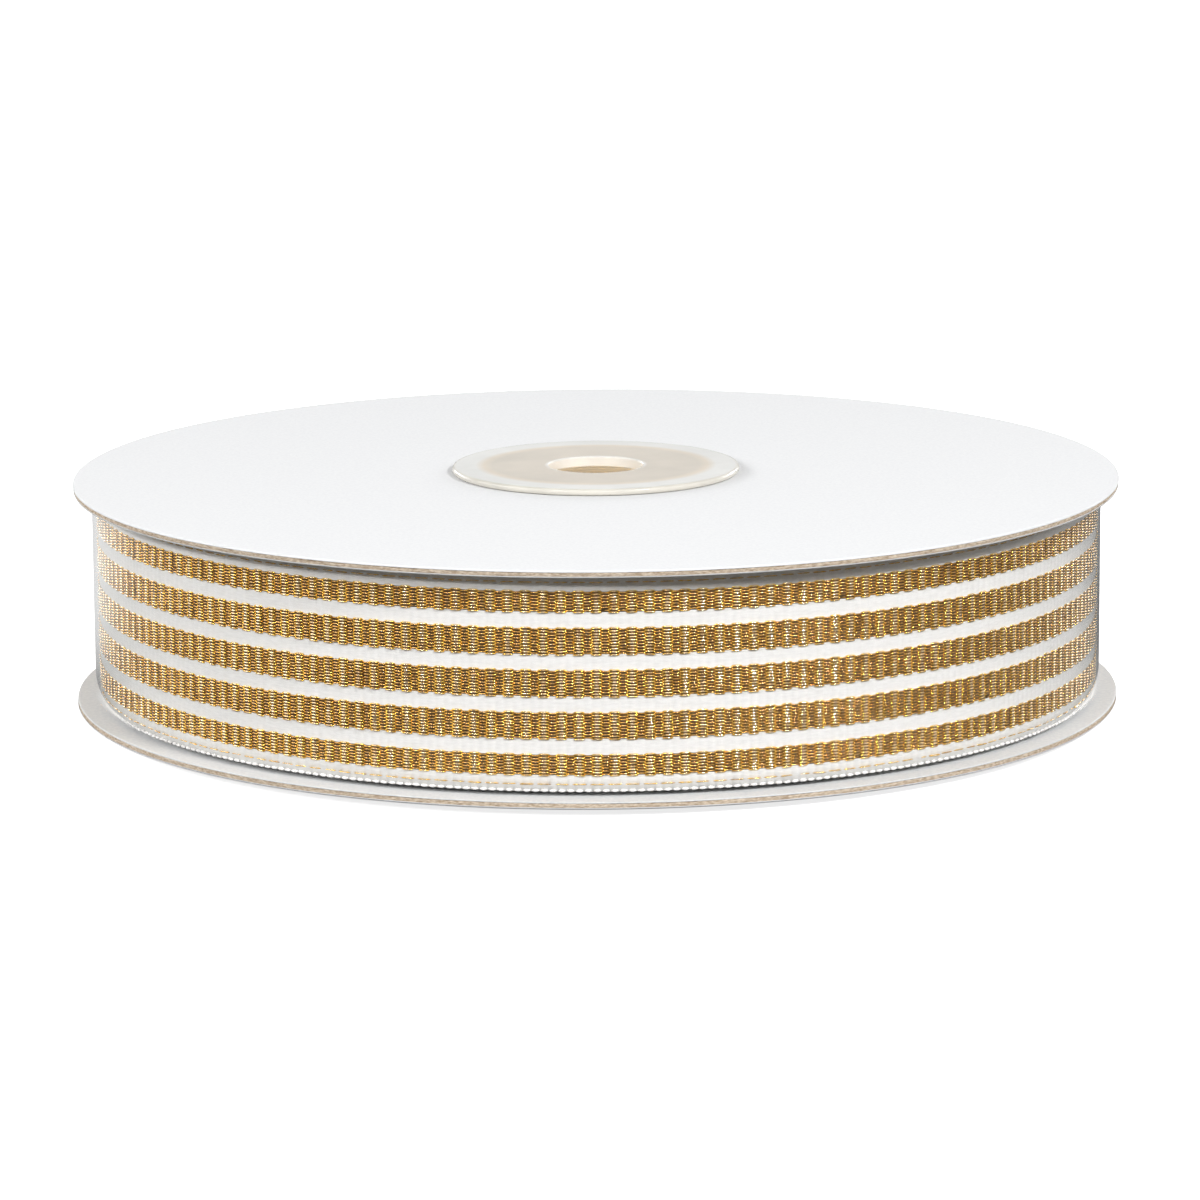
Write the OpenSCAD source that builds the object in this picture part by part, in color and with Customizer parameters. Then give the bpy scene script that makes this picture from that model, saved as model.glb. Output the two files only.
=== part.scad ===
// Ribbon spool: two paper-faced card discs turning on a snap-together hub,
// wound full with woven ribbon and closed with a clear film band.
// Axis of the spool is Z. The origin is the centre of the lower hub flange's outer face.

/* [Card discs] */
// Diameter of both discs
disc_d = 127; // [100:1:160]
// Thickness of the chipboard core
board_t = 0.6; // [0.4:0.05:1.5]
// Thickness of the white paper on each face
paper_t = 0.15; // [0.1:0.01:0.3]

/* [Ribbon] */
// Width of the ribbon
ribbon_w = 24.9; // [15:0.1:40]
// Thickness that one wound turn takes up
ribbon_t = 0.482; // [0.2:0.002:1]
// How far the full roll lies inside the discs' edge
rim_depth = 2.4; // [1:0.1:12]

/* [Hub] */
// Outer diameter of the barrel that the ribbon is wound on
barrel_d = 30; // [24:0.5:50]
// Wall of the barrel and of the spigot inside it
barrel_wall = 1.2; // [0.8:0.1:2]
// Width of the shoulder that each disc runs against
shoulder_w = 1; // [0.6:0.1:2]
// How far each flange reaches over its disc, beyond the neck
flange_reach = 3.5; // [2:0.1:8]
// Thickness of each flange where it stands above its disc
flange_t = 0.8; // [0.5:0.05:2]
// Thickness of each end web
web_t = 1.3; // [0.8:0.1:3]
// Diameter of the spindle hole through both webs
spindle_d = 11.6; // [6:0.1:16]
// Height of the collar under the barrel's mouth
collar_h = 1; // [0.6:0.1:3]
// Length of the spigot inside the barrel
spigot_len = 12; // [6:0.5:18]
// Height of the snap bead above the spigot's surface
bead_h = 0.25; // [0.1:0.05:0.4]

/* [Film band and tapes] */
// Thickness of the clear film
film_t = 0.06; // [0.04:0.01:0.2]
// How much narrower the film is than the ribbon, at each edge
film_inset = 0.2; // [0.1:0.1:3]
// Length over which the film's two ends overlap
film_overlap = 20; // [8:1:40]
// Width of the tab that holds the overlap
tab_w = 14; // [6:1:30]
// Height of the tab
tab_h = 16; // [6:1:24]
// Thickness of the tab and of the starting tape
tape_t = 0.05; // [0.03:0.01:0.15]
// Length of the tape that starts the ribbon, round the barrel
start_tape_l = 16; // [8:1:30]
// Width of the tape that starts the ribbon
start_tape_w = 18; // [8:1:24]

/* [Fits] */
// Radial clearance of each disc's hole on its neck
turn_clear = 0.1; // [0.04:0.01:0.1]
// Axial play of each disc in its slot
disc_play = 0.1; // [0.06:0.01:0.3]
// Radial clearance of the spigot in the barrel
snap_clear = 0.05; // [0.02:0.01:0.1]
// Gap between the ribbon and the upper disc
top_gap = 0.1; // [0.08:0.02:1]
// Gap between the ribbon and the lower disc
low_gap = 0.5; // [0.1:0.05:2]
// Radial gap between the roll and the film band
film_gap = 0.12; // [0.05:0.01:0.5]

/* [Hidden] */
$fn = 180;

cut = 1; // how far a cutting shape runs past what it cuts
disc_t = board_t + 2 * paper_t;
slot_h = disc_t + disc_play;
barrel_len = ribbon_w + low_gap + top_gap - disc_play;

barrel_r = barrel_d / 2;
neck_r = barrel_r - shoulder_w;
flange_r = neck_r + flange_reach;
spindle_r = spindle_d / 2;
socket_r = barrel_r - barrel_wall;
spigot_r = socket_r - snap_clear;
hollow_r = spigot_r - barrel_wall;
hole_r = neck_r + turn_clear;
disc_r = disc_d / 2;

low_slot_z = flange_t;
collar_z = low_slot_z + slot_h;
mouth_z = collar_z + collar_h;
high_slot_z = collar_z + barrel_len;
top_flange_z = high_slot_z + slot_h;
overall_h = top_flange_z + flange_t;
low_disc_z = low_slot_z + disc_play / 2;
high_disc_z = high_slot_z + disc_play / 2;

bead_r = 0.6; // radius of the bead's round section
bead_z = mouth_z + spigot_len - 2;
chamfer = 0.4; // lead-in at the spigot's tip and the barrel's mouth

ribbon_z = low_disc_z + disc_t + low_gap;
ribbon_mid_z = ribbon_z + ribbon_w / 2;
roll_in_r = barrel_r + tape_t;
roll_r = disc_r - rim_depth;
film_in_r = roll_r + film_gap;
film_w = ribbon_w - 2 * film_inset;
start_tape_z = max(ribbon_mid_z - start_tape_w / 2, mouth_z + 1);
back_angle = 90; // the film's joint faces +Y

// A straight tube standing on z.
module tube(outer_r, inner_r, h, z) {
    translate([0, 0, z]) difference() {
        cylinder(r = outer_r, h = h);
        translate([0, 0, -cut]) cylinder(r = inner_r, h = h + 2 * cut);
    }
}

// A stretch of a tube, centred on an angle and as long as arc_l round its inside.
module arc_strip(inner_r, t, arc_l, w, mid_angle, mid_z) {
    arc_angle = arc_l / inner_r * 180 / PI;
    rotate([0, 0, mid_angle - arc_angle / 2])
        rotate_extrude(angle = arc_angle)
            translate([inner_r, mid_z - w / 2]) square([t, w]);
}

// A thin disc with a fully rounded rim, standing on z.
module flange(z) {
    rim_r = flange_t / 2;
    translate([0, 0, z]) {
        cylinder(r = flange_r - rim_r, h = flange_t);
        translate([0, 0, rim_r]) rotate_extrude() translate([flange_r - rim_r, 0]) circle(r = rim_r, $fn = 32);
    }
}

// The ring that stands out of the spigot, or its groove when grown by a clearance.
module snap_ring(grow) {
    translate([0, 0, bead_z]) rotate_extrude()
        translate([spigot_r + bead_h - bead_r, 0]) circle(r = bead_r + grow, $fn = 32);
}

module hub_socket() {
    thick_z = high_slot_z - web_t;
    color([0.89, 0.88, 0.85]) difference() {
        union() {
            translate([0, 0, mouth_z]) cylinder(r = barrel_r, h = high_slot_z - mouth_z);
            translate([0, 0, high_slot_z]) cylinder(r = neck_r, h = slot_h + flange_t / 2);
            flange(top_flange_z);
        }
        translate([0, 0, mouth_z - cut]) cylinder(r = socket_r, h = thick_z - mouth_z + cut);
        translate([0, 0, mouth_z - cut]) cylinder(r = hollow_r, h = overall_h - web_t - mouth_z + cut);
        translate([0, 0, mouth_z - cut]) cylinder(r = spindle_r, h = overall_h);
        translate([0, 0, mouth_z]) cylinder(r1 = socket_r + chamfer, r2 = socket_r, h = chamfer);
        snap_ring(snap_clear);
    }
}

module hub_spigot() {
    tip_z = mouth_z + spigot_len;
    color([0.89, 0.88, 0.85]) difference() {
        union() {
            flange(0);
            translate([0, 0, flange_t / 2]) cylinder(r = neck_r, h = collar_z - flange_t / 2);
            translate([0, 0, collar_z]) cylinder(r = barrel_r, h = collar_h);
            translate([0, 0, mouth_z]) cylinder(r = spigot_r, h = spigot_len - chamfer);
            translate([0, 0, tip_z - chamfer])
                cylinder(r1 = spigot_r, r2 = spigot_r - chamfer, h = chamfer);
            snap_ring(0);
        }
        translate([0, 0, web_t]) cylinder(r = hollow_r, h = tip_z);
        translate([0, 0, -cut]) cylinder(r = spindle_r, h = tip_z);
    }
}

module board(z) color([0.82, 0.75, 0.66]) tube(disc_r, hole_r, board_t, z + paper_t);
module lower_paper(z) color([0.95, 0.95, 0.94]) tube(disc_r, hole_r, paper_t, z);
module upper_paper(z) color([0.95, 0.95, 0.94]) tube(disc_r, hole_r, paper_t, z + paper_t + board_t);

module top_board() board(high_disc_z);
module top_outer_paper() upper_paper(high_disc_z);
module top_inner_paper() lower_paper(high_disc_z);
module bottom_board() board(low_disc_z);
module bottom_outer_paper() lower_paper(low_disc_z);
module bottom_inner_paper() upper_paper(low_disc_z);

module ribbon_roll() {
    color([0.82, 0.70, 0.47]) tube(roll_r, roll_in_r, ribbon_w, ribbon_z);
}

module start_tape() {
    color([0.85, 0.80, 0.66])
        arc_strip(barrel_r, tape_t, start_tape_l, start_tape_w, back_angle, start_tape_z + start_tape_w / 2);
}

module film_band() {
    sunk = film_t / 2; // the lapped end shares this much with the turn below it
    color([0.93, 0.95, 0.95, 0.4]) union() {
        tube(film_in_r + film_t, film_in_r, film_w, ribbon_mid_z - film_w / 2);
        arc_strip(film_in_r + film_t - sunk, film_t + sunk, film_overlap, film_w, back_angle, ribbon_mid_z);
    }
}

module band_tab() {
    color([0.95, 0.93, 0.86, 0.6])
        arc_strip(film_in_r + 2 * film_t, tape_t, tab_w, tab_h, back_angle, ribbon_mid_z);
}

hub_socket();
hub_spigot();
top_board();
top_outer_paper();
top_inner_paper();
bottom_board();
bottom_outer_paper();
bottom_inner_paper();
ribbon_roll();
start_tape();
film_band();
band_tab();
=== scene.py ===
import math

import bmesh
import bpy
from mathutils import Matrix, Vector, noise


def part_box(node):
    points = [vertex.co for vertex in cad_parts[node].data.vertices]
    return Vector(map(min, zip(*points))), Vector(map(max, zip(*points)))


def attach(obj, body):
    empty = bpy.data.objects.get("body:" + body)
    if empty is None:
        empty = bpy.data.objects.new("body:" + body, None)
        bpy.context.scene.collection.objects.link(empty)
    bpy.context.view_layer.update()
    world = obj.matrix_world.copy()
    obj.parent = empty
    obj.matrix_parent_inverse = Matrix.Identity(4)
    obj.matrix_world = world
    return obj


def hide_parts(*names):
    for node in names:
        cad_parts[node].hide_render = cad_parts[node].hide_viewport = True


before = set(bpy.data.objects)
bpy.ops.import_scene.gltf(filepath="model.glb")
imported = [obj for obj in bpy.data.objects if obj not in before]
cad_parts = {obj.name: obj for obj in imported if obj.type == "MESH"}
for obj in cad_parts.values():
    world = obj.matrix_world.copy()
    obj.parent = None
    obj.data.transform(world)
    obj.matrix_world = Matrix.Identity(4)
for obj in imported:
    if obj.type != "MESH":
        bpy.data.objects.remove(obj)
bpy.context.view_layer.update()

MM = 0.001
TURN = 2 * math.pi

# Camera. A long lens a little above the spool, which lies on its side.
lower_disc_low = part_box("bottom_outer_paper")[0].z
view_tilt = math.radians(11.274)
view_roll = math.radians(-0.376)
view_distance = 0.6845
view_right, view_up = 0.0004, 0.01107
back_from_spool = Vector((0, -math.cos(view_tilt), math.sin(view_tilt)))
up_in_view = Vector((0, math.sin(view_tilt), math.cos(view_tilt)))
view_place = back_from_spool * view_distance + up_in_view * view_up
view_place += Vector((view_right, 0, lower_disc_low))
camera = bpy.data.objects.new("camera", bpy.data.cameras.new("camera"))
camera.data.lens = 167.14
camera.data.clip_start, camera.data.clip_end = 0.01, 20
camera.matrix_world = (Matrix.Translation(view_place)
                       @ Matrix.Rotation(math.pi / 2 - view_tilt, 4, "X")
                       @ Matrix.Rotation(view_roll, 4, "Z"))
bpy.context.scene.collection.objects.link(camera)
bpy.context.scene.camera = camera


# Studio. A wide pale floor in a little soft air. Two small bright boxes and a panel stand in front,
# large boxes light both sides and the back, and a weak one hangs overhead.
def add_soft_box(name, turn, height, size, watts, distance=1.2):
    """A soft box aimed at the spool; turn is in degrees round from the camera's side, + to the right."""
    turn, height = math.radians(turn), math.radians(height)
    away = Vector((math.sin(turn) * math.cos(height), -math.cos(turn) * math.cos(height), math.sin(height)))
    lamp = bpy.data.lights.new(name, "AREA")
    lamp.shape, lamp.size, lamp.size_y = "RECTANGLE", size[0], size[1]
    lamp.energy = watts
    light = bpy.data.objects.new(name, lamp)
    spool_middle = Vector((0, 0, 0.015))
    facing = (-away).to_track_quat("-Z", "Y").to_matrix().to_4x4()
    light.matrix_world = Matrix.Translation(spool_middle + away * distance) @ facing
    light.visible_camera = False
    bpy.context.scene.collection.objects.link(light)


add_soft_box("left_front_box", -30, 25, (0.26, 0.08), 3.4)
add_soft_box("right_front_box", 41, 35, (0.26, 0.08), 9.5)
add_soft_box("left_side_box", -80, 25, (1.3, 0.4), 9.0)
add_soft_box("right_side_box", 84, 25, (1.3, 0.4), 3.0)
add_soft_box("front_panel", 4, 35, (0.9, 0.36), 3.9)
add_soft_box("back_panel", 180, 20, (2.4, 0.7), 4.8)
add_soft_box("back_left_box", -140, 13, (0.8, 0.3), 4.0)
add_soft_box("back_right_box", 140, 13, (0.8, 0.3), 4.0)
add_soft_box("overhead_box", 180, 75, (1.0, 1.0), 0.3)

# Light that the milky hub has gathered inside its hollow.
hollow_lamp = bpy.data.lights.new("hollow_lamp", "POINT")
hollow_lamp.energy, hollow_lamp.shadow_soft_size = 0.0030, 0.005
hollow_light = bpy.data.objects.new("hollow_light", hollow_lamp)
hollow_light.location = (0, 0, 0.0145)
hollow_light.visible_camera = hollow_light.visible_glossy = False
bpy.context.scene.collection.objects.link(hollow_light)

world = bpy.data.worlds.new("studio_air")
bpy.context.scene.world = world
world.use_nodes = True
world.node_tree.nodes["Background"].inputs["Color"].default_value = (1, 1, 1, 1)
world.node_tree.nodes["Background"].inputs["Strength"].default_value = 0.07
bpy.context.scene.view_settings.view_transform = "Standard"


def new_material(name, colour, roughness, metallic=0.0):
    material = bpy.data.materials.new(name)
    material.use_nodes = True
    shader = material.node_tree.nodes["Principled BSDF"]
    shader.inputs["Base Color"].default_value = (*colour, 1)
    shader.inputs["Roughness"].default_value = roughness
    shader.inputs["Metallic"].default_value = metallic
    return material, shader


floor_mesh = bmesh.new()
bmesh.ops.create_circle(floor_mesh, cap_ends=True, radius=4, segments=96)
floor_data = bpy.data.meshes.new("floor")
floor_mesh.to_mesh(floor_data)
floor_mesh.free()
floor = bpy.data.objects.new("floor", floor_data)
bpy.context.scene.collection.objects.link(floor)
# The floor looks white, but throws little light back up on the spool. In reflections it is
# white only behind the spool on the left.
white_turn = math.radians(-155)
floor_white, floor_shader = new_material("floor_white", (0.75, 0.75, 0.75), 0.8)
floor_shader.inputs["Emission Color"].default_value = (1, 1, 1, 1)
floor_shader.inputs["Emission Strength"].default_value = 0.8
floor_nodes, floor_links = floor_white.node_tree.nodes, floor_white.node_tree.links
floor_place = floor_nodes.new("ShaderNodeTexCoord")
floor_way = floor_nodes.new("ShaderNodeVectorMath")
floor_way.operation = "NORMALIZE"
towards_white = floor_nodes.new("ShaderNodeVectorMath")
towards_white.operation = "DOT_PRODUCT"
towards_white.inputs[1].default_value = (math.sin(white_turn), -math.cos(white_turn), 0)
white_share = floor_nodes.new("ShaderNodeMapRange")
white_share.interpolation_type = "SMOOTHSTEP"
white_share.inputs["From Min"].default_value, white_share.inputs["From Max"].default_value = 0.4, 0.95
white_share.inputs["To Min"].default_value, white_share.inputs["To Max"].default_value = 0.18, 0.72
reflected_white = floor_nodes.new("ShaderNodeEmission")
floor_bounce = floor_nodes.new("ShaderNodeBsdfDiffuse")
floor_bounce.inputs["Color"].default_value = (0.13, 0.13, 0.13, 1)
ray = floor_nodes.new("ShaderNodeLightPath")
unless_reflected = floor_nodes.new("ShaderNodeMixShader")
unless_seen = floor_nodes.new("ShaderNodeMixShader")
floor_links.new(floor_place.outputs["Object"], floor_way.inputs[0])
floor_links.new(floor_way.outputs[0], towards_white.inputs[0])
floor_links.new(towards_white.outputs["Value"], white_share.inputs["Value"])
floor_links.new(white_share.outputs["Result"], reflected_white.inputs["Strength"])
floor_links.new(ray.outputs["Is Glossy Ray"], unless_reflected.inputs["Fac"])
floor_links.new(floor_bounce.outputs["BSDF"], unless_reflected.inputs[1])
floor_links.new(reflected_white.outputs["Emission"], unless_reflected.inputs[2])
floor_links.new(ray.outputs["Is Camera Ray"], unless_seen.inputs["Fac"])
floor_links.new(unless_reflected.outputs["Shader"], unless_seen.inputs[1])
floor_links.new(floor_shader.outputs["BSDF"], unless_seen.inputs[2])
floor_links.new(unless_seen.outputs["Shader"], floor_nodes["Material Output"].inputs["Surface"])
floor_data.materials.append(floor_white)


# Hub. Two snap-together mouldings in milky translucent polypropylene: the socket half has
# the barrel, the spigot half plugs into it from below. Both have a thin round-rimmed flange,
# a neck that a card disc turns on, and an end web with the spindle hole.
def keep_piece(mesh, name, body, nodes, slot, *materials):
    """Makes the finished mesh an object that rides on a body and stands for CAD nodes."""
    data = bpy.data.meshes.new(name)
    mesh.to_mesh(data)
    mesh.free()
    piece = bpy.data.objects.new(name, data)
    bpy.context.scene.collection.objects.link(piece)
    for material in materials:
        data.materials.append(material)
    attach(piece, body)
    if nodes:
        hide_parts(*nodes)
    return piece


def all_round(mesh, *copies):
    """Repeats what is there in a full turn round Z: copies 4, 3 makes 4 side by side, then 3 of those."""
    step = TURN / math.prod(copies)
    for count in copies:
        bmesh.ops.spin(mesh, geom=mesh.verts[:] + mesh.edges[:] + mesh.faces[:], cent=(0, 0, 0),
                       axis=(0, 0, 1), dvec=(0, 0, 0), angle=step * (count - 1), steps=count - 1,
                       use_merge=False, use_normal_flip=False, use_duplicate=True)
        step *= count


def held_corners(outline):
    """Adds a point on each long side just short of a rounded corner, so that flats shade as flats."""
    held = []
    for index, (r, z, rounding) in enumerate(outline):
        corner = Vector((r, z))
        before, after = (Vector(outline[(index + step) % len(outline)][:2]) - corner for step in (-1, 1))
        hold = rounding + 0.25
        if rounding and before.length > 3 * hold:
            held.append((*(corner + before.normalized() * hold), 0))
        held.append((r, z, rounding))
        if rounding and after.length > 3 * hold:
            held.append((*(corner + after.normalized() * hold), 0))
    return held


def turned(outline, steps=256, bends=4):
    """Spins a closed outline of (radius, height, corner rounding) points, in mm, about Z."""
    outline = held_corners(outline)
    mesh = bmesh.new()
    corners = [mesh.verts.new((r * MM, 0, z * MM)) for r, z, _ in outline]
    mesh.faces.new(corners)
    for corner, (_, _, rounding) in zip(corners, outline):
        if rounding:
            bmesh.ops.bevel(mesh, geom=[corner], offset=rounding * MM, offset_type="OFFSET",
                            segments=bends, profile=0.5, affect="VERTICES", material=-1)
    bmesh.ops.delete(mesh, geom=mesh.faces[:], context="FACES_ONLY")
    sectors = 16
    bmesh.ops.spin(mesh, geom=mesh.verts[:] + mesh.edges[:], cent=(0, 0, 0), axis=(0, 0, 1),
                   dvec=(0, 0, 0), angle=TURN / sectors, steps=steps // sectors, use_merge=False,
                   use_normal_flip=False, use_duplicate=False)
    all_round(mesh, sectors)
    bmesh.ops.remove_doubles(mesh, verts=mesh.verts[:], dist=1e-6)
    bmesh.ops.recalc_face_normals(mesh, faces=mesh.faces[:])
    for face in mesh.faces:
        face.smooth = True
    return mesh


def crisp(piece, angle=35):
    """Keeps edges sharper than the angle sharp while the rest shades smoothly."""
    data = piece.data
    mesh = bmesh.new()
    mesh.from_mesh(data)
    for edge in mesh.edges:
        if len(edge.link_faces) == 2 and edge.calc_face_angle() > math.radians(angle):
            edge.smooth = False
    mesh.to_mesh(data)
    mesh.free()


hub_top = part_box("hub_socket")[1].z / MM
flange_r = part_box("hub_socket")[1].x / MM
mouth_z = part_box("hub_socket")[0].z / MM
tip_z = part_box("hub_spigot")[1].z / MM
neck_r, barrel_r, socket_r, hollow_r, spindle_r = 14.0, 15.0, 13.8, 12.55, 5.8
flange_t, web_t, slot_h = 0.8, 1.3, 1.0
web_low = hub_top - web_t
shoulder_z = hub_top - flange_t - slot_h
thick_z = shoulder_z - web_t
socket_mesh = turned([
    (spindle_r, hub_top, 0.18), (flange_r, hub_top, 0.36), (flange_r, hub_top - flange_t, 0.36),
    (neck_r, hub_top - flange_t, 0), (neck_r, shoulder_z, 0), (barrel_r, shoulder_z, 0.15),
    (barrel_r, mouth_z, 0.15), (socket_r, mouth_z, 0.2), (socket_r, thick_z, 0.2),
    (hollow_r, thick_z + 0.3, 0.2), (hollow_r, web_low, 0.5), (spindle_r, web_low, 0.18),
])
collar_z = flange_t + slot_h
spigot_r, bead_h, bead_half = 13.75, 0.22, 0.5
bead_z = tip_z - 2.0
spigot_mesh = turned([
    (spindle_r, 0, 0.18), (flange_r, 0, 0.36), (flange_r, flange_t, 0.36), (neck_r, flange_t, 0),
    (neck_r, collar_z, 0), (barrel_r, collar_z, 0.15), (barrel_r, mouth_z, 0.15), (spigot_r, mouth_z, 0),
    (spigot_r, bead_z - bead_half, 0), (spigot_r + bead_h, bead_z, 0.2), (spigot_r, bead_z + bead_half, 0),
    (spigot_r, tip_z - 0.4, 0), (spigot_r - 0.4, tip_z, 0), (hollow_r, tip_z, 0.1),
    (hollow_r, web_t, 0.5), (spindle_r, web_t, 0.18),
])


def grain(material, scale, detail=3.0, distortion=0.0):
    """A noise pattern fixed to the piece, with so many waves per metre along X, Y and Z."""
    nodes, links = material.node_tree.nodes, material.node_tree.links
    place = nodes.new("ShaderNodeTexCoord")
    stretch = nodes.new("ShaderNodeMapping")
    stretch.inputs["Scale"].default_value = scale
    pattern = nodes.new("ShaderNodeTexNoise")
    pattern.inputs["Scale"].default_value = 1.0
    pattern.inputs["Detail"].default_value = detail
    pattern.inputs["Distortion"].default_value = distortion
    links.new(place.outputs["Object"], stretch.inputs["Vector"])
    links.new(stretch.outputs["Vector"], pattern.inputs["Vector"])
    return pattern.outputs["Fac"]


def bump(material, shader, pattern, strength, height):
    """Raises the surface by up to so many mm with the pattern."""
    nodes, links = material.node_tree.nodes, material.node_tree.links
    relief = nodes.new("ShaderNodeBump")
    relief.inputs["Strength"].default_value = strength
    relief.inputs["Distance"].default_value = height * MM
    links.new(pattern, relief.inputs["Height"])
    links.new(relief.outputs["Normal"], shader.inputs["Normal"])


def distance_ramp(material, keep, stops, centre=(0, 0, 0)):
    """A colour by distance from the centre; keep picks the axes that count and stops are (mm, colour)."""
    nodes, links = material.node_tree.nodes, material.node_tree.links
    place = nodes.new("ShaderNodeTexCoord")
    from_centre = nodes.new("ShaderNodeVectorMath")
    from_centre.operation = "SUBTRACT"
    from_centre.inputs[1].default_value = centre
    flat = nodes.new("ShaderNodeVectorMath")
    flat.operation = "MULTIPLY"
    flat.inputs[1].default_value = keep
    far = nodes.new("ShaderNodeVectorMath")
    far.operation = "LENGTH"
    reach = stops[-1][0]
    share = nodes.new("ShaderNodeMapRange")
    share.inputs["From Max"].default_value = reach * MM
    ramp = nodes.new("ShaderNodeValToRGB")
    for _ in stops[2:]:
        ramp.color_ramp.elements.new(0.5)
    for element, (distance, colour) in zip(ramp.color_ramp.elements, stops):
        element.position = distance / reach
        element.color = (*colour, 1)
    links.new(place.outputs["Object"], from_centre.inputs[0])
    links.new(from_centre.outputs[0], flat.inputs[0])
    links.new(flat.outputs[0], far.inputs[0])
    links.new(far.outputs["Value"], share.inputs["Value"])
    links.new(share.outputs["Result"], ramp.inputs["Fac"])
    return ramp.outputs["Color"]


# The milky plastic's colour is painted with what would show through it, light and shade included: white
# card under the flanges, the card's brown cut edge round the neck, painted shade of the dim hollow under
# the webs, the wound gold behind the barrel's wall with a painted lit wall above and below it, a lighter
# painted lit wall in the spindle hole and a darker beige painted edge tint on the flange rims.
painted_hollow_shade, over_edge, over_card = (0.60, 0.53, 0.43), (0.70, 0.60, 0.46), (0.76, 0.76, 0.73)
painted_lit_wall, painted_gold_through = (0.92, 0.91, 0.89), (0.98, 0.76, 0.36)
hole_wall, painted_rim_tint = (0.80, 0.79, 0.76), (0.70, 0.67, 0.60)
hub_plastic, hub_shader = new_material("hub_plastic", over_card, 0.16)
hub_shader.inputs["IOR"].default_value = 1.49
# Across the ends: painted show-through of the card and its cut edge, painted shade over the hollow, a
# lighter painted lit hole wall and a painted tint on the rims.
across_ends = distance_ramp(hub_plastic, (1, 1, 0), [
    (0, hole_wall), (5.9, hole_wall), (6.3, painted_hollow_shade), (12.6, painted_hollow_shade), (13.6, over_edge),
    (14.7, over_card), (flange_r - 0.55, over_card),
    (flange_r - 0.2, painted_rim_tint), (flange_r, painted_rim_tint)])
hub_middle = Vector((0, 0, hub_top / 2 * MM))
# Up the barrel: the gold painted through its wall in the middle, and a painted lit wall towards the ends.
up_barrel = distance_ramp(hub_plastic, (0, 0, 1), [
    (0, painted_gold_through), (10.3, painted_gold_through), (11.3, painted_lit_wall), (14.0, painted_lit_wall)], hub_middle)
ends_or_barrel = distance_ramp(hub_plastic, (0, 0, 1), [
    (0, (0, 0, 0)), (12.85, (0, 0, 0)), (12.95, (1, 1, 1)), (14.0, (1, 1, 1))], hub_middle)
hub_colour = hub_plastic.node_tree.nodes.new("ShaderNodeMix")
hub_colour.data_type = "RGBA"
hub_plastic.node_tree.links.new(ends_or_barrel, hub_colour.inputs["Factor"])
hub_plastic.node_tree.links.new(up_barrel, hub_colour.inputs["A"])
hub_plastic.node_tree.links.new(across_ends, hub_colour.inputs["B"])
cloudiness = hub_plastic.node_tree.nodes.new("ShaderNodeMapRange")
cloudiness.inputs["From Min"].default_value, cloudiness.inputs["From Max"].default_value = 0.3, 0.7
cloudiness.inputs["To Min"].default_value, cloudiness.inputs["To Max"].default_value = 0.90, 1.04
clouded = hub_plastic.node_tree.nodes.new("ShaderNodeVectorMath")
clouded.operation = "SCALE"
hub_plastic.node_tree.links.new(grain(hub_plastic, (150, 150, 150)), cloudiness.inputs["Value"])
hub_plastic.node_tree.links.new(hub_colour.outputs["Result"], clouded.inputs[0])
hub_plastic.node_tree.links.new(cloudiness.outputs["Result"], clouded.inputs["Scale"])
hub_plastic.node_tree.links.new(clouded.outputs[0], hub_shader.inputs["Base Color"])
bump(hub_plastic, hub_shader, grain(hub_plastic, (500, 500, 500)), 0.2, 0.03)
lets_through = hub_plastic.node_tree.nodes.new("ShaderNodeBsdfTranslucent")
lets_through.inputs["Color"].default_value = (0.96, 0.94, 0.90, 1)
milky = hub_plastic.node_tree.nodes.new("ShaderNodeMixShader")
milky.inputs["Fac"].default_value = 0.12
hub_plastic.node_tree.links.new(hub_shader.outputs["BSDF"], milky.inputs[1])
hub_plastic.node_tree.links.new(lets_through.outputs["BSDF"], milky.inputs[2])
hub_plastic.node_tree.links.new(milky.outputs["Shader"],
                                hub_plastic.node_tree.nodes["Material Output"].inputs["Surface"])
for half, half_mesh in (("hub_socket", socket_mesh), ("hub_spigot", spigot_mesh)):
    crisp(keep_piece(half_mesh, half + "_moulding", "core", [half], "hub_plastic", hub_plastic))


# Card discs. Chipboard with white paper glued on both faces, die-cut from the outer face, so the
# outer paper is drawn down over the rim in a small roll and the board's cut edge stays fibrous.
disc_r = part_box("top_board")[1].x / MM
hole_r = neck_r + 0.1
board_t = 0.6
paper_t = 0.15
roll_down = 0.12


def two_tone(material, shader, pattern, low_colour, high_colour, low=0.3, high=0.7):
    """Colours the surface from low_colour to high_colour as the pattern goes from low to high."""
    nodes, links = material.node_tree.nodes, material.node_tree.links
    ramp = nodes.new("ShaderNodeValToRGB")
    first, last = ramp.color_ramp.elements
    first.position, last.position = low, high
    first.color, last.color = (*low_colour, 1), (*high_colour, 1)
    links.new(pattern, ramp.inputs["Fac"])
    links.new(ramp.outputs["Color"], shader.inputs["Base Color"])


chipboard, chipboard_shader = new_material("chipboard", (0.60, 0.47, 0.34), 0.9)
fibres = grain(chipboard, (1700, 1700, 6500), detail=3)
two_tone(chipboard, chipboard_shader, fibres, (0.42, 0.31, 0.21), (0.74, 0.63, 0.50), 0.35, 0.65)
bump(chipboard, chipboard_shader, fibres, 0.8, 0.08)
white_paper, paper_shader = new_material("white_paper", (0.76, 0.765, 0.775), 0.75)
paper_shader.inputs["Specular IOR Level"].default_value = 0.1
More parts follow.
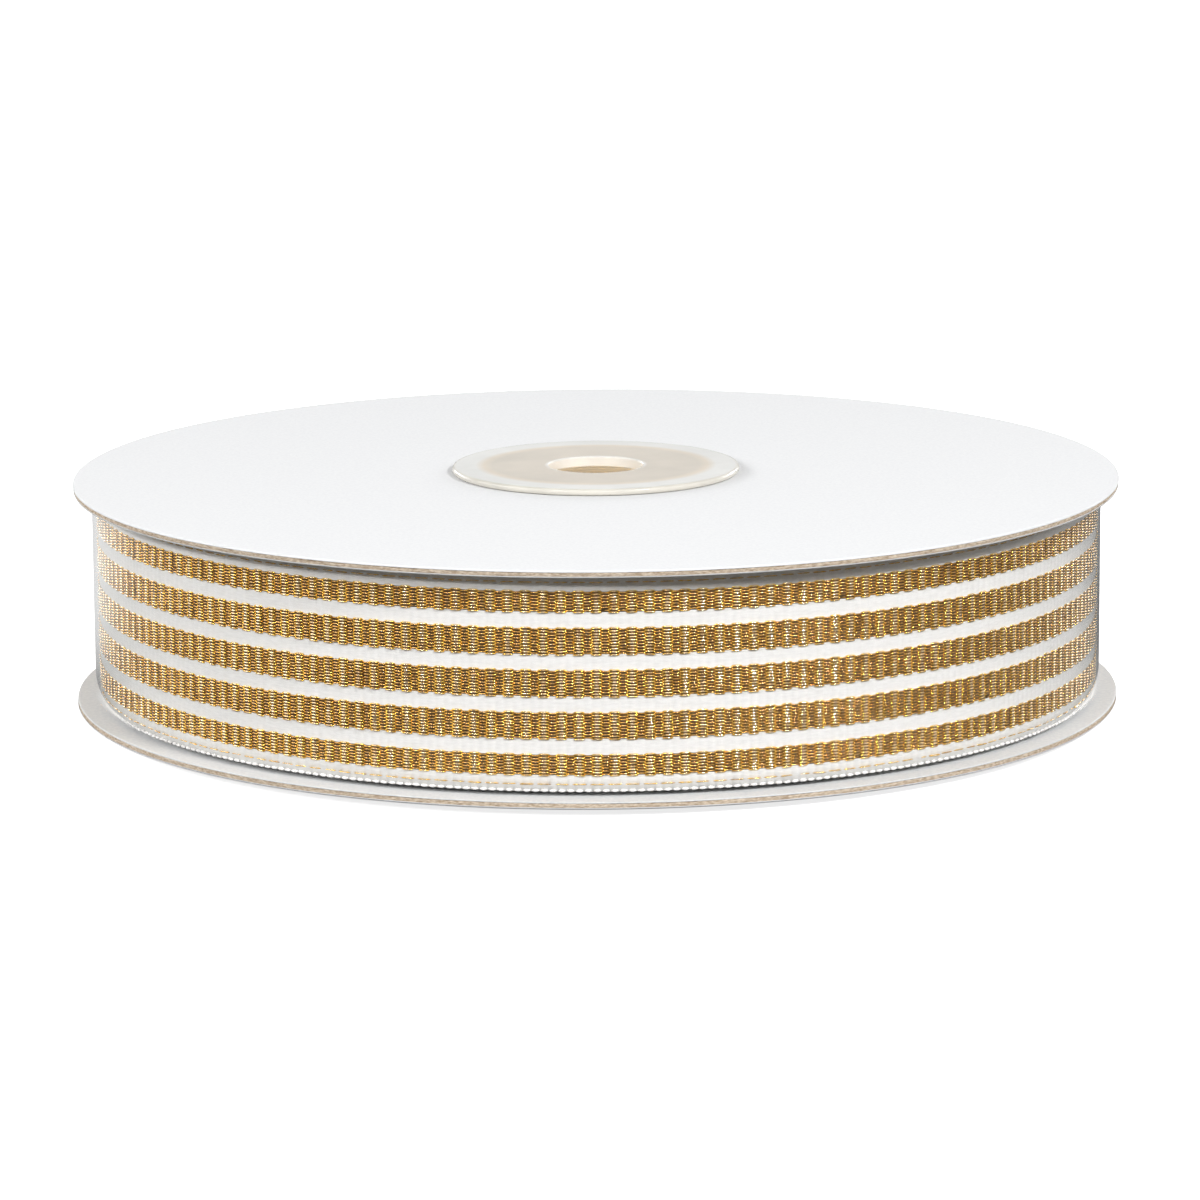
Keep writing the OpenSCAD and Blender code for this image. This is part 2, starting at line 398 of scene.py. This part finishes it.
# The inner faces, which face each other across the ribbon, take a darker copy of the white paper: painted
# shade.
shaded_inner_paper, shaded_inner_shader = new_material("shaded_inner_paper", (0.66, 0.67, 0.675), 0.6)
liner_fibre = grain(shaded_inner_paper, (2200, 2200, 2200), detail=4)
two_tone(shaded_inner_paper, shaded_inner_shader, liner_fibre, (0.63, 0.64, 0.65), (0.69, 0.695, 0.695), 0.4, 0.6)
bump(shaded_inner_paper, shaded_inner_shader, liner_fibre, 0.3, 0.02)
paper_fibre = grain(white_paper, (2600, 2600, 2600), detail=4)
two_tone(white_paper, paper_shader, paper_fibre, (0.745, 0.75, 0.76), (0.775, 0.78, 0.785), 0.4, 0.6)
bump(white_paper, paper_shader, paper_fibre, 0.25, 0.02)


def frayed(mesh, reach, seed):
    """Moves the outermost points in and out by a little, as a cut board edge is."""
    for vert in mesh.verts:
        radius = math.hypot(vert.co.x, vert.co.y)
        if radius > (disc_r - 0.3) * MM:
            tuft = noise.noise(vert.co * 900 + Vector((seed, 0, 0))) + noise.noise(vert.co * 350)
            scale = 1 - (0.5 + 0.5 * tuft) * reach * MM / radius
            vert.co.x *= scale
            vert.co.y *= scale


def card_disc(side, board_z, outward, body):
    """One disc: outward is +1 where its outer face is up and -1 where it is down."""
    middle = board_z + board_t / 2
    half = board_t / 2
    board_mesh = turned([
        (hole_r, middle - half, 0), (disc_r - 0.05, middle - half, 0.08), (disc_r, middle, 0),
        (disc_r - 0.05, middle + half, 0.08), (hole_r, middle + half, 0)], steps=720, bends=2)
    frayed(board_mesh, 0.10, board_z)
    crisp(keep_piece(board_mesh, side + "_board_cut", body, [side + "_board"], "chipboard", chipboard))
    face = middle + outward * half
    outer_mesh = turned([
        (hole_r, face, 0), (disc_r - 0.08, face, 0), (disc_r - 0.02, face - outward * roll_down, 0.02),
        (disc_r + 0.03, face - outward * roll_down, 0.02), (disc_r, face + outward * paper_t, 0.34),
        (hole_r, face + outward * paper_t, 0.05)], steps=512, bends=6)
    crisp(keep_piece(outer_mesh, side + "_outer_face", body, [side + "_outer_paper"],
                     "white_paper", white_paper))
    face = middle - outward * half
    inner_mesh = turned([
        (hole_r, face, 0), (disc_r, face, 0.02), (disc_r - 0.04, face - outward * paper_t, 0.06),
        (hole_r, face - outward * paper_t, 0.05)], steps=512, bends=3)
    crisp(keep_piece(inner_mesh, side + "_inner_face", body, [side + "_inner_paper"],
                     "white_paper", shaded_inner_paper))


card_disc("top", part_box("top_board")[0].z / MM, 1, "top_disc")
card_disc("bottom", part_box("bottom_board")[0].z / MM, -1, "bottom_disc")


# Ribbon. One length of ribbed ribbon, woven of white and gold yarns and wound 94 times. Each turn
# lies on the one below, so the outer turn comes in by one thickness on its way round to the free end
# at the back.
ribbon_low, ribbon_high = (corner.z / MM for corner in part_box("ribbon_roll"))
ribbon_mid = (ribbon_low + ribbon_high) / 2
ribbon_w = ribbon_high - ribbon_low
roll_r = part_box("ribbon_roll")[1].x / MM
roll_in_r = barrel_r + 0.05
ribbon_t, turn_gap = 0.482, 0.06
free_end = math.radians(97)
ribs = 384
rib = TURN / ribs
turns = 94
winding_pitch = (roll_r - roll_in_r) / (turns + 1)


def drop_in(point):
    """Moves a point of the outer turn inwards by how far it still has to go round to the free end."""
    around = (math.atan2(point.y, point.x) - free_end) % TURN
    radius = math.hypot(point.x, point.y)
    scale = 1 - winding_pitch * MM * (1 - around / TURN) / radius
    point.x *= scale
    point.y *= scale


turns_under = turns - 1
steps_in_turn = 72
under_mesh = bmesh.new()
section = bmesh.ops.create_grid(under_mesh, x_segments=1, y_segments=1, size=0.5)["verts"]
bmesh.ops.delete(under_mesh, geom=under_mesh.faces[:], context="FACES_ONLY")
bmesh.ops.scale(under_mesh, vec=((ribbon_t - turn_gap) * MM, ribbon_w * MM, 1), verts=section)
bmesh.ops.rotate(under_mesh, verts=section, cent=(0, 0, 0), matrix=Matrix.Rotation(math.pi / 2, 3, "X"))
bmesh.ops.translate(under_mesh, verts=section, vec=((roll_in_r + ribbon_t / 2) * MM, 0, ribbon_mid * MM))
bmesh.ops.spin(under_mesh, geom=under_mesh.verts[:] + under_mesh.edges[:], cent=(0, 0, 0), axis=(0, 0, 1),
               dvec=(0, 0, 0), angle=TURN, steps=steps_in_turn, use_merge=False,
               use_normal_flip=False, use_duplicate=False)
verts_in_turn = len(under_mesh.verts)
bmesh.ops.spin(under_mesh, geom=under_mesh.verts[:] + under_mesh.edges[:] + under_mesh.faces[:],
               cent=(0, 0, 0), axis=(0, 0, 1), dvec=(0, 0, 0), angle=0, steps=turns_under - 1,
               use_merge=False, use_normal_flip=False, use_duplicate=True)
for index, vert in enumerate(under_mesh.verts):
    wound = index // verts_in_turn + index % verts_in_turn // 4 / steps_in_turn
    radius = math.hypot(vert.co.x, vert.co.y)
    scale = 1 + wound * winding_pitch * MM / radius
    vert.co.x *= scale
    vert.co.y *= scale
bmesh.ops.remove_doubles(under_mesh, verts=under_mesh.verts[:], dist=1e-6)
bmesh.ops.rotate(under_mesh, verts=under_mesh.verts[:], cent=(0, 0, 0),
                 matrix=Matrix.Rotation(free_end, 3, "Z"))
bmesh.ops.holes_fill(under_mesh, edges=under_mesh.edges[:], sides=4)
bmesh.ops.recalc_face_normals(under_mesh, faces=under_mesh.faces[:])
ribbon_white, ribbon_shader = new_material("ribbon_white", (0.88, 0.87, 0.85), 0.6)
ribbon_shader.inputs["Sheen Weight"].default_value = 0.15
threads = grain(ribbon_white, (900, 900, 5000), detail=2)
two_tone(ribbon_white, ribbon_shader, threads, (0.83, 0.82, 0.80), (0.91, 0.90, 0.88))
bump(ribbon_white, ribbon_shader, threads, 0.5, 0.03)
# Gold warp under the stripes, dark brown as painted shade between the floats.
shaded_gold_bed, shaded_bed_shader = new_material("shaded_gold_bed", (0.10, 0.055, 0.02), 0.4, 0.8)
bump(shaded_gold_bed, shaded_bed_shader, grain(shaded_gold_bed, (3000, 3000, 3000)), 0.6, 0.05)

# Metallic yarn: floats over even ribs stand up and shine, those over odd ribs lie a little deeper, and both
# are yellow foil towards their ends. Painted into the colour are a pale highlight on the crests over even
# ribs, brown shade over odd ribs and brown shade in random patches.
gold_yarn, gold_shader = new_material("gold_yarn", (0.95, 0.63, 0.19), 0.15, 0.82)
gold_shader.inputs["Coat Weight"].default_value = 0.6
gold_shader.inputs["Coat Roughness"].default_value = 0.05
gold_nodes, gold_links = gold_yarn.node_tree.nodes, gold_yarn.node_tree.links
gold_place = gold_nodes.new("ShaderNodeTexCoord")
gold_xyz = gold_nodes.new("ShaderNodeSeparateXYZ")
round_spool = gold_nodes.new("ShaderNodeMath")
round_spool.operation = "ARCTAN2"
along_float = gold_nodes.new("ShaderNodeMath")
along_float.operation = "MULTIPLY_ADD"
along_float.inputs[1].default_value = ribs / TURN * math.pi
along_float.inputs[2].default_value = -free_end * ribs / TURN * math.pi
crest_here = gold_nodes.new("ShaderNodeMath")
crest_here.operation = "SINE"
over_or_under = gold_nodes.new("ShaderNodeMath")
over_or_under.operation = "MULTIPLY_ADD"
over_or_under.inputs[1].default_value = 0.5
over_or_under.inputs[2].default_value = 0.5
gold_links.new(gold_place.outputs["Object"], gold_xyz.inputs[0])
gold_links.new(gold_xyz.outputs["Y"], round_spool.inputs[0])
gold_links.new(gold_xyz.outputs["X"], round_spool.inputs[1])
gold_links.new(round_spool.outputs[0], along_float.inputs[0])
gold_links.new(along_float.outputs[0], crest_here.inputs[0])
gold_links.new(crest_here.outputs[0], over_or_under.inputs[0])
# Colour round each column of floats: painted brown shade over odd ribs, yellow foil between, a pale painted
# highlight over even ribs.
foil_and_painted_light = gold_nodes.new("ShaderNodeValToRGB")
for _ in range(3):
    foil_and_painted_light.color_ramp.elements.new(0.5)
for element, (place, colour) in zip(foil_and_painted_light.color_ramp.elements, [
        (0.04, (0.66, 0.38, 0.13)), (0.22, (0.94, 0.53, 0.08)), (0.5, (1.0, 0.65, 0.11)),
        (0.78, (1.0, 0.66, 0.14)), (0.95, (1.0, 0.77, 0.48))]):
    element.position = place
    element.color = (*colour, 1)
gold_links.new(over_or_under.outputs[0], foil_and_painted_light.inputs["Fac"])
# Random patches of painted brown shade.
shade = gold_nodes.new("ShaderNodeMapRange")
shade.inputs["From Min"].default_value, shade.inputs["From Max"].default_value = 0.46, 0.36
shade.inputs["To Max"].default_value = 0.5
shaded_foil = gold_nodes.new("ShaderNodeMix")
shaded_foil.data_type = "RGBA"
shaded_foil.inputs["B"].default_value = (0.52, 0.25, 0.035, 1)
gold_links.new(grain(gold_yarn, (800, 800, 500)), shade.inputs["Value"])
gold_links.new(shade.outputs["Result"], shaded_foil.inputs["Factor"])
gold_links.new(foil_and_painted_light.outputs["Color"], shaded_foil.inputs["A"])
gold_links.new(shaded_foil.outputs["Result"], gold_shader.inputs["Base Color"])
bump(gold_yarn, gold_shader, grain(gold_yarn, (5200, 5200, 5200), detail=2), 0.8, 0.06)
ribbon = keep_piece(under_mesh, "ribbon_inner_turns", "core", ["ribbon_roll"], "ribbon", ribbon_white)

# Ground weave of the outer turn. White ribs run across the ribbon, and under each stripe the ground is a
# bed of gold warp, coloured dark brown gold as painted shade between the floats.
stripe_pitch = 4.82
stripes = [(0, 3.25), (-stripe_pitch, 3.25), (stripe_pitch, 3.25), (-9.325, 2.65), (9.325, 2.65)]
ground_r = roll_r - 0.16
rib_h = 0.05
points_in_rib = 6
bed_inset = 0.16
ground_depth = 0.26


def ground_points():
    """The heights where the ground changes from white to gold bed, from low to high."""
    levels = [-ribbon_w / 2 + 0.1, ribbon_w / 2 - 0.1]
    for middle, width in stripes:
        levels += [middle - width / 2 + bed_inset, middle + width / 2 - bed_inset]
    return sorted(levels)


ground_mesh = bmesh.new()
front = [ground_mesh.verts.new((ground_r * MM, 0, (ribbon_mid + z) * MM)) for z in ground_points()]
back_low = ground_mesh.verts.new(((ground_r - ground_depth) * MM, 0, front[0].co.z))
back_high = ground_mesh.verts.new(((ground_r - ground_depth) * MM, 0, front[-1].co.z))
ground_mesh.faces.new([back_low, *front, back_high])
bmesh.ops.delete(ground_mesh, geom=ground_mesh.faces[:], context="FACES_ONLY")
bmesh.ops.spin(ground_mesh, geom=ground_mesh.verts[:] + ground_mesh.edges[:], cent=(0, 0, 0),
               axis=(0, 0, 1), dvec=(0, 0, 0), angle=rib, steps=points_in_rib,
               use_merge=False, use_normal_flip=False, use_duplicate=False)
for vert in ground_mesh.verts:
    if math.hypot(vert.co.x, vert.co.y) > (ground_r - 0.1) * MM:
        crest = math.sin(math.pi * math.atan2(vert.co.y, vert.co.x) / rib)
        scale = 1 + rib_h * (crest - 0.5) / ground_r
        vert.co.x *= scale
        vert.co.y *= scale
all_round(ground_mesh, 4, 4, 4, 6)
bmesh.ops.rotate(ground_mesh, verts=ground_mesh.verts[:], cent=(0, 0, 0),
                 matrix=Matrix.Rotation(free_end, 3, "Z"))
last_slice = len(front) + 2
for vert in list(ground_mesh.verts)[-last_slice:]:
    vert.co = Matrix.Rotation(-rib / 50, 3, "Z") @ vert.co
for vert in ground_mesh.verts:
    drop_in(vert.co)
bmesh.ops.remove_doubles(ground_mesh, verts=ground_mesh.verts[:], dist=1e-6)
bmesh.ops.holes_fill(ground_mesh, edges=ground_mesh.edges[:], sides=last_slice)
bmesh.ops.recalc_face_normals(ground_mesh, faces=ground_mesh.faces[:])
for face in ground_mesh.faces:
    face.smooth = len(face.verts) == 4
    height = face.calc_center_median().z / MM - ribbon_mid
    inside = any(abs(height - middle) < width / 2 - bed_inset for middle, width in stripes)
    face.material_index = 1 if inside and len(face.verts) == 4 else 0
woven_on = [keep_piece(ground_mesh, "ribbon_ground", "core", [], "ribbon", ribbon_white, shaded_gold_bed)]


# Gold warp. Every yarn floats over one rib and dives under the next, its neighbours the other way
# about, so the floats lie like bricks and the stripe's edges come out scalloped. Each float swings
# a little, the same way in every run, and none reaches the film.
verts_in_float = 26
under_film_r = roll_r + 0.09
own_swing, shared_swing, shift = 5, 14, 0.03
noise.seed_set(1)


def float_yarns(levels_even, levels_odd, length, height, depth, sunk=0.0):
    """Floats at the given heights over even and odd ribs, all round the roll, in mm and ribs."""
    mesh = bmesh.new()
    for offset, levels in ((0, levels_even), (1, levels_odd)):
        for level in levels:
            made = bmesh.ops.create_uvsphere(mesh, u_segments=6, v_segments=5, radius=1)["verts"]
            half_length = (length - sunk * 2 * offset) / 2 * rib * roll_r
            bmesh.ops.scale(mesh, vec=(depth / 2 * MM, height / 2 * MM, half_length * MM), verts=made)
            bmesh.ops.rotate(mesh, verts=made, cent=(0, 0, 0), matrix=Matrix.Rotation(math.pi / 2, 3, "X"))
            float_r = ground_r + depth * 0.12 - sunk * offset
            bmesh.ops.translate(mesh, verts=made, vec=(float_r * MM, 0, (ribbon_mid + level) * MM))
            bmesh.ops.rotate(mesh, verts=made, cent=(0, 0, 0),
                             matrix=Matrix.Rotation(free_end + (offset + 0.5) * rib, 3, "Z"))
    all_round(mesh, 4, 6, 8)
    for face in mesh.faces:
        face.smooth = True
    verts = mesh.verts[:]
    for start in range(0, len(verts), verts_in_float):
        float_verts = verts[start:start + verts_in_float]
        middle = sum((vert.co for vert in float_verts), Vector()) / verts_in_float
        column = math.atan2(middle.y, middle.x)
        own = noise.noise_vector(middle * 4700)
        shared = noise.noise_vector(Vector((column * 130, 0, middle.z * 150)))
        swing = Matrix.Rotation(math.radians(own_swing * own.x + shared_swing * shared.x), 3, "Z")
        lift = middle.xy.normalized().to_3d() * (shift * own.y * MM)
        lift.z = shift * own.z * MM
        for vert in float_verts:
            vert.co = middle + lift + swing @ (vert.co - middle)
            room = min(1, under_film_r * MM / math.hypot(vert.co.x, vert.co.y))
            vert.co.x *= room
            vert.co.y *= room
            drop_in(vert.co)
    return mesh


yarn_pitch = 0.34
border_level = 11.55
selvedge_inset = 0.2
for number, (middle, width) in enumerate(stripes):
    rows = round(width / yarn_pitch)
    even = [middle + (row - (rows - 1) / 2) * yarn_pitch for row in range(rows)]
    odd = [level + yarn_pitch / 2 for level in even[:-1]]
    stripe_mesh = float_yarns(even, odd, length=1.34, height=0.285, depth=0.38, sunk=0.08)
    woven_on.append(keep_piece(stripe_mesh, f"gold_stripe_{number + 1}", "core", [], "ribbon", gold_yarn))
for side, level in (("lower", -border_level), ("upper", border_level)):
    border_mesh = float_yarns([level], [], length=1.7, height=0.15, depth=0.24)
    woven_on.append(keep_piece(border_mesh, side + "_gold_yarn", "core", [], "ribbon", gold_yarn))
for side, outwards in (("lower", -1), ("upper", 1)):
    edge = outwards * (ribbon_w / 2 - selvedge_inset)
    loop_mesh = float_yarns([edge], [edge], length=0.86, height=0.36, depth=0.42)
    woven_on.append(keep_piece(loop_mesh, side + "_selvedge", "core", [], "ribbon", ribbon_white))


# Film band. A strip of clear film wrapped once round the roll with its ends lapped at the back. It
# casts no shadow and is left out of bounced light, so that the ribbon under its layers isn't darkened.
film_low, film_high = (corner.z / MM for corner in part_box("film_band"))
film_gap, film_t, lap_length = 0.12, 0.06, 20
film_r = roll_r + film_gap
lap = lap_length / film_r
film_start = math.pi / 2 - lap / 2
film_slices = 380
film_mesh = bmesh.new()
film_edge = [film_mesh.verts.new((r * MM, 0, z * MM)) for r, z in (
    (film_r, film_low), (film_r + film_t, film_low),
    (film_r + film_t, film_high), (film_r, film_high))]
film_mesh.faces.new(film_edge)
bmesh.ops.delete(film_mesh, geom=film_mesh.faces[:], context="FACES_ONLY")
bmesh.ops.spin(film_mesh, geom=film_mesh.verts[:] + film_mesh.edges[:], cent=(0, 0, 0), axis=(0, 0, 1),
               dvec=(0, 0, 0), angle=TURN + lap, steps=film_slices, use_merge=False,
               use_normal_flip=False, use_duplicate=False)
for index, vert in enumerate(film_mesh.verts):
    wound = index // 4 / film_slices * (TURN + lap) / TURN
    vert.co.x *= 1 + wound * film_t / film_r
    vert.co.y *= 1 + wound * film_t / film_r
bmesh.ops.rotate(film_mesh, verts=film_mesh.verts[:], cent=(0, 0, 0),
                 matrix=Matrix.Rotation(film_start, 3, "Z"))
bmesh.ops.holes_fill(film_mesh, edges=film_mesh.edges[:], sides=4)
bmesh.ops.recalc_face_normals(film_mesh, faces=film_mesh.faces[:])
for face in film_mesh.faces:
    face.smooth = True
clear_film = bpy.data.materials.new("clear_film")
clear_film.use_nodes = True
film_nodes = clear_film.node_tree.nodes
film_nodes.remove(film_nodes["Principled BSDF"])
see_through = film_nodes.new("ShaderNodeBsdfTransparent")
glint = film_nodes.new("ShaderNodeBsdfGlossy")
glint.inputs["Roughness"].default_value = 0.08
glint.inputs["Color"].default_value = (1, 1, 1, 1)
bump(clear_film, glint, grain(clear_film, (90, 90, 35)), 0.2, 0.1)
edge_on = film_nodes.new("ShaderNodeLayerWeight")
edge_on.inputs["Blend"].default_value = 0.5
steep = film_nodes.new("ShaderNodeMath")
steep.operation = "POWER"
steep.inputs[1].default_value = 5
shine = film_nodes.new("ShaderNodeMath")
shine.operation = "MULTIPLY_ADD"
shine.inputs[1].default_value, shine.inputs[2].default_value = 0.96, 0.012
either = film_nodes.new("ShaderNodeMixShader")
film_links = clear_film.node_tree.links
film_links.new(edge_on.outputs["Facing"], steep.inputs[0])
film_links.new(steep.outputs[0], shine.inputs[0])
film_links.new(shine.outputs[0], either.inputs["Fac"])
film_links.new(see_through.outputs["BSDF"], either.inputs[1])
film_links.new(glint.outputs["BSDF"], either.inputs[2])
film_links.new(either.outputs["Shader"], film_nodes["Material Output"].inputs["Surface"])
film = keep_piece(film_mesh, "film_wrap", "band", ["film_band"], "clear_film", clear_film)
film.visible_shadow = film.visible_glossy = film.visible_diffuse = False
crisp(film)


# Tapes. A tab of matt clear tape shuts the film over its lap, and a wider piece of the same tape
# holds the ribbon's inner end to the barrel, under all the turns.
matt_tape, tape_shader = new_material("matt_tape", (0.93, 0.92, 0.87), 0.4)
tape_grain = grain(matt_tape, (1500, 1500, 1500), detail=4)
bump(matt_tape, tape_shader, tape_grain, 0.3, 0.02)
tape_nodes, tape_links = matt_tape.node_tree.nodes, matt_tape.node_tree.links
tape_clear = tape_nodes.new("ShaderNodeBsdfTransparent")
tape_mix = tape_nodes.new("ShaderNodeMixShader")
tape_mix.inputs["Fac"].default_value = 0.16
tape_links.new(tape_clear.outputs["BSDF"], tape_mix.inputs[1])
tape_links.new(tape_shader.outputs["BSDF"], tape_mix.inputs[2])
tape_links.new(tape_mix.outputs["Shader"], tape_nodes["Material Output"].inputs["Surface"])
for tape_node in ("band_tab", "start_tape"):
    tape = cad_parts[tape_node]
    tape.visible_shadow = tape.visible_glossy = tape.visible_diffuse = False
    for tape_slot in tape.material_slots:
        tape_slot.material = matt_tape
